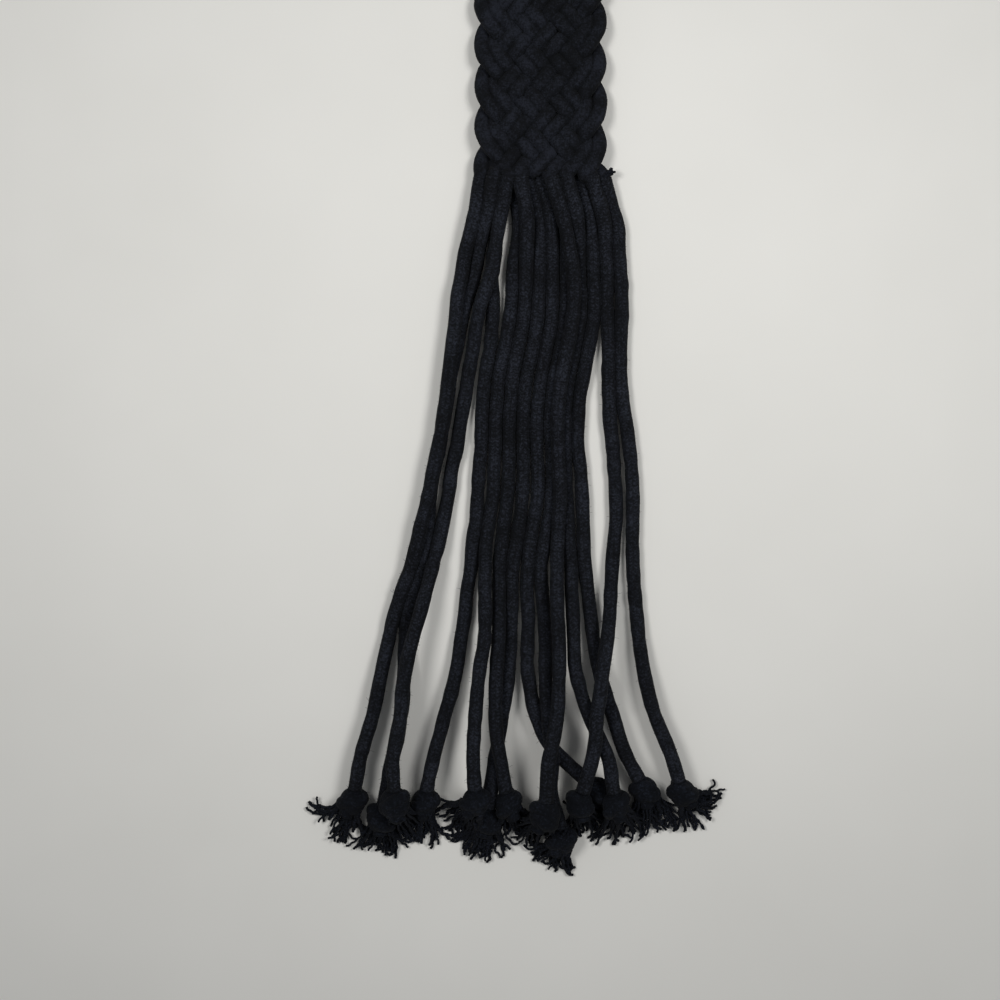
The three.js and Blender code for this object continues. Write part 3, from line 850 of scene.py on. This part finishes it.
def tied_end(tight, record, end, random):
    """The overhand knot and the yarns that it frays into, as one piece, and the knot's line."""
    line = placed(knot_line(tight, record, random), end)
    line = evenly_spaced(line, len(line) + 10)
    along = distances_along(line)
    narrowing = smooth_step(along / NARROWING_LENGTH)
    radii = CORD_RADIUS + (KNOT_CORD_RADIUS - CORD_RADIUS) * narrowing
    radii = radii * (1 + wander(random, along, *KNOT_WANDER))
    knot = tubes(line[None], radii[None], TAIL_SIDES[end], frame_of=carried_frame)
    yarns, thickness = yarn_paths(record, YARN_STEPS[end], random)
    strands = tubes(placed(yarns, end), thickness, YARN_SIDES)
    name = f"tied_end_{end}_{record['number']:02d}"
    bodies = [(*knot, 0), (*knot_core(record, end), 0), (*strands, 1)]
    return joined(name, bodies, [TIED_COTTON, FRAYED_YARN]), line


# The plait


def rounded_turn(turn):
    """Columns from an edge, 0 to 7, rounded off as 0.5 + 0.5 t^2 within one column of either edge."""
    low = 0.5 + 0.5 * turn**2
    high = STRAND_COUNT - (0.5 + 0.5 * (STRAND_COUNT - turn) ** 2)
    return np.where(turn < 1, low, np.where(turn > STRAND_COUNT - 1, high, turn))


def strand_line(strand, row):
    """The middle line of a strand at fractional rows. With r = (row + 2 strand) mod 14 and turn = |r - 7|,
    x = (3.5 - rounded turn) column pitch, y = (row - 60) row pitch + shift + shear x, and
    z = half thickness - rise sin phase, where the phase gains half a turn at each of the six crossings."""
    r = np.mod(row + 2 * strand, 2 * STRAND_COUNT)
    x = (STRAND_COUNT / 2 - rounded_turn(np.abs(r - STRAND_COUNT))) * COLUMN_PITCH
    y = (row - ROW_COUNT / 2) * ROW_PITCH + PLAIT_SHIFT + PLAIT_SHEAR * x
    bends = np.array([0.0, 0.5, 5.5, 6.0]) * np.pi
    phase = np.interp(np.mod(r, STRAND_COUNT), [0, 1, STRAND_COUNT - 1, STRAND_COUNT], bends)
    z = BAND_THICKNESS / 2 - CROSSING_RISE * np.sin(phase)
    return np.stack([x, y, z], axis=1)


def pair_line(strand, side, row, random):
    """One cord of a strand's pair, half a pair to the left or right of the strand's line in plan."""
    line = strand_line(strand, row)
    ahead = np.gradient(line, axis=0)[:, :2]
    normal = unit(np.stack([-ahead[:, 1], ahead[:, 0]], axis=1))
    sway = wander(random, row - row[0], *PAIR_SWAY)
    line[:, :2] += normal * (side * PAIR_OFFSET + sway)[:, None]
    line[:, 2] += wander(random, row - row[0], *PAIR_HEIGHT_SWAY)
    return line


def hermite(start, start_tangent, end, end_tangent, count):
    """The cubic from start to end with the given tangents, in count steps, without its first point."""
    t = np.linspace(0.0, 1.0, count + 1)[1:, None]
    return (
        (2 * t**3 - 3 * t**2 + 1) * start
        + (t**3 - 2 * t**2 + t) * start_tangent
        + (3 * t**2 - 2 * t**3) * end
        + (t**3 - t**2) * end_tangent
    )


def matched(reaching, exits):
    """Which exit each plaited cord leaves by: first by place across, then by swaps that shorten the ways."""
    order = np.empty(len(reaching), int)
    order[np.argsort(reaching[:, 0])] = np.argsort(exits[:, 0])
    weights = np.array([1.0, 0.0, HEIGHT_WEIGHT])
    cost = (((reaching[:, None] - exits[None]) ** 2) * weights).sum(axis=2)
    for _ in range(SWAP_ROUNDS):
        for a in range(len(order)):
            for b in range(a + 1, len(order)):
                kept = cost[a, order[a]] + cost[b, order[b]]
                if cost[a, order[b]] + cost[b, order[a]] < kept - 1e-9:
                    order[a], order[b] = order[b], order[a]
    return order


def plaited_cords(records, random):
    """The fourteen cords of the plait, each from its exit at one end to its exit at the other."""
    row = np.linspace(-PLAIT_OVERRUN, ROW_COUNT + PLAIT_OVERRUN, ROW_COUNT * STRAND_STEPS + 1)
    lines = [pair_line(strand, side, row, random) for strand in range(STRAND_COUNT) for side in (-1, 1)]
    starts = np.array([record["route"][0] for record in records])
    exits = {end: placed(starts, end) for end in ("near", "far")}
    leaving = np.array([[record["leaving"], -1.0, 0.0] for record in records])
    towards = {"near": leaving, "far": leaving * np.array([-1.0, -1.0, 1.0])}
    for end in ("near", "far"):
        lines = [line[::-1] for line in lines]
        tips = np.array([line[-1] for line in lines])
        ways = unit(np.array([line[-1] - line[-3] for line in lines]))
        reach = np.abs(exits[end][0, 1] - tips[:, 1])
        order = matched(tips + ways * (JOIN_REACH * reach)[:, None], exits[end])
        for number, line in enumerate(lines):
            goal = exits[end][order[number]]
            pull = JOIN_PULL * np.linalg.norm(goal - tips[number])
            into = towards[end][order[number]] * pull
            added = hermite(line[-1], ways[number] * pull, goal, into, JOIN_STEPS)
            lines[number] = np.concatenate([line, added])
    return lines


def braided_band(records, random):
    """The fourteen plaited cords, each a slightly flattened tube from exit to exit."""
    hairs = []
    for number, line in enumerate(plaited_cords(records, random), start=1):
        radii = CORD_RADIUS * (1 + wander(random, distances_along(line), *RADIUS_WANDER))
        line[:, 2] = np.maximum(line[:, 2], radii * PLAITED_TALL)
        points, faces, uv = tubes(line[None], radii[None], PLAITED_SIDES, PLAITED_WIDE, PLAITED_TALL)
        piece = mesh_from(f"plaited_cord_{number:02d}", points, faces, [FELTED_COTTON], uv)
        piece_of_belt(piece, "braided_band")
        hairs.append(hair_paths(line, CORD_RADIUS, HAIRS_PER_MM["plait"], random))
    piece_of_belt(hair_piece("plait_fuzz", hairs))


# The cut end of thin yarn beside the plait's end

CUT_YARN_FOOT = (23.3, 0.2 - BAND_HALF_LENGTH, 4.9)
CUT_YARN_ANGLE = math.radians(38)
CUT_YARN_LENGTH = 4.4
CUT_YARN_STRANDS = 7
CUT_YARN_TWIST = 0.9
CUT_YARN_SPREAD = 0.7
CUT_YARN_SLOPE = 0.1
CUT_YARN_RINGS = 12
CUT_YARN_REACH = (0.8, 1.05)
FRAY_START = 2.6
FRAY = 0.12
FRAY_SHARE = (0.2, 1.6)


def cut_yarn(random):
    """Thin strands twisted into one short yarn: strand k of 7 lies at the angle 2 pi k / 7 + twist s about
    the yarn's line, at the distance spread + share * fray (s - fray start)^2, and so opens towards the tip."""
    s = np.linspace(0.0, CUT_YARN_LENGTH, CUT_YARN_RINGS)
    strands = np.arange(CUT_YARN_STRANDS)
    angle = 2 * np.pi * strands[:, None] / CUT_YARN_STRANDS + CUT_YARN_TWIST * s[None, :]
    opening = FRAY * np.maximum(s[None, :] - FRAY_START, 0.0) ** 2
    spread = CUT_YARN_SPREAD + opening * random.uniform(*FRAY_SHARE, (CUT_YARN_STRANDS, 1))
    ahead = np.array([math.cos(CUT_YARN_ANGLE), math.sin(CUT_YARN_ANGLE), CUT_YARN_SLOPE])
    side = np.array([-math.sin(CUT_YARN_ANGLE), math.cos(CUT_YARN_ANGLE), 0.0])
    up = np.array([0.0, 0.0, 1.0])
    reach = s[None, :, None] * random.uniform(*CUT_YARN_REACH, (CUT_YARN_STRANDS, 1, 1))
    paths = np.array(CUT_YARN_FOOT) + reach * ahead
    paths = paths + (spread * np.cos(angle))[..., None] * side + (spread * np.sin(angle))[..., None] * up
    points, faces, uv = tubes(paths, np.full(angle.shape, YARN_RADIUS), YARN_SIDES)
    return mesh_from("cut_yarn_end", points, faces, [FRAYED_YARN], uv)


# The surface and the light. A lamp's place and aim are in metres, its size too, its power in watts, and
# its spread in degrees. The first two light the photographed end, and the third the far one.

FLOOR_HALF = 3000.0
LAMPS = (
    ("right_lamp", (0.41, -0.42, 0.78), (0.015, -0.465, 0.0), 0.32, 0.825, 84),
    ("left_lamp", (-0.415, -0.42, 0.80), (0.025, -0.458, 0.0), 0.31, 0.785, 84),
    ("far_lamp", (0.0, 0.58, 1.9), (0.0, 0.58, 0.0), 0.4, 1.6, 46),
)
AIR_COLOUR = (0.93, 0.96, 1.0, 1.0)
AIR_STRENGTH = 0.225


def floor():
    """A flat square at the height 0, which is no part of the belt."""
    corners = np.array([[-1, -1, 0], [1, -1, 0], [1, 1, 0], [-1, 1, 0]]) * FLOOR_HALF
    surface = mesh_from("floor", corners, [np.array([[0, 1, 2, 3]])], [surface_finish()])


def area_light(name, place, aim, size, power, spread):
    """A round soft lamp at its place, turned to its aim and hidden from the camera."""
    light = bpy.data.lights.new(name, "AREA")
    light.shape = "DISK"
    light.size = size
    light.energy = power
    light.spread = math.radians(spread)
    lamp = bpy.data.objects.new(name, light)
    lamp.location = place
    away = np.array(place, float) - np.array(aim, float)
    pitch = math.acos(away[2] / np.linalg.norm(away))
    lamp.rotation_euler = (pitch, 0.0, math.atan2(away[0], -away[1]))
    lamp.visible_camera = False
    bpy.context.scene.collection.objects.link(lamp)


def studio():
    """The floor, the lamps and a weak even light from all round."""
    floor()
    for lamp in LAMPS:
        area_light(*lamp)
    world = bpy.data.worlds.new("studio_air")
    world.use_nodes = True
    world.node_tree.nodes["Background"].inputs["Color"].default_value = AIR_COLOUR
    world.node_tree.nodes["Background"].inputs["Strength"].default_value = AIR_STRENGTH
    bpy.context.scene.world = world
    bpy.context.scene.view_settings.view_transform = "Standard"


photograph_camera()
laid_tails = lay_tails(np.random.default_rng(LAYING_SEED))
tight_knot = overhand_path()
for end_name in ("near", "far"):
    fuzz = []
    for tail in laid_tails:
        chance = np.random.default_rng(FAR_SEED * (end_name == "far") + tail["number"])
        cord, cord_path, cord_length = free_cord(tail, end_name, chance)
        knot, tied_line = tied_end(tight_knot, tail, end_name, chance)
        fuzz.append(hair_paths(cord_path, CORD_RADIUS, HAIRS_PER_MM[end_name], chance))
        fuzz.append(hair_paths(tied_line, KNOT_CORD_RADIUS, HAIRS_PER_MM[end_name], chance))
        label = f"{end_name}_{tail['number']:02d}"
        piece_of_belt(cord, f"tail_{label}")
        piece_of_belt(knot, f"knot_{label}")
    piece_of_belt(hair_piece(f"fringe_fuzz_{end_name}", fuzz))
braided_band(laid_tails, np.random.default_rng(PLAIT_SEED))
piece_of_belt(cut_yarn(np.random.default_rng(CUT_YARN_SEED)), "yarn_stub")
studio()
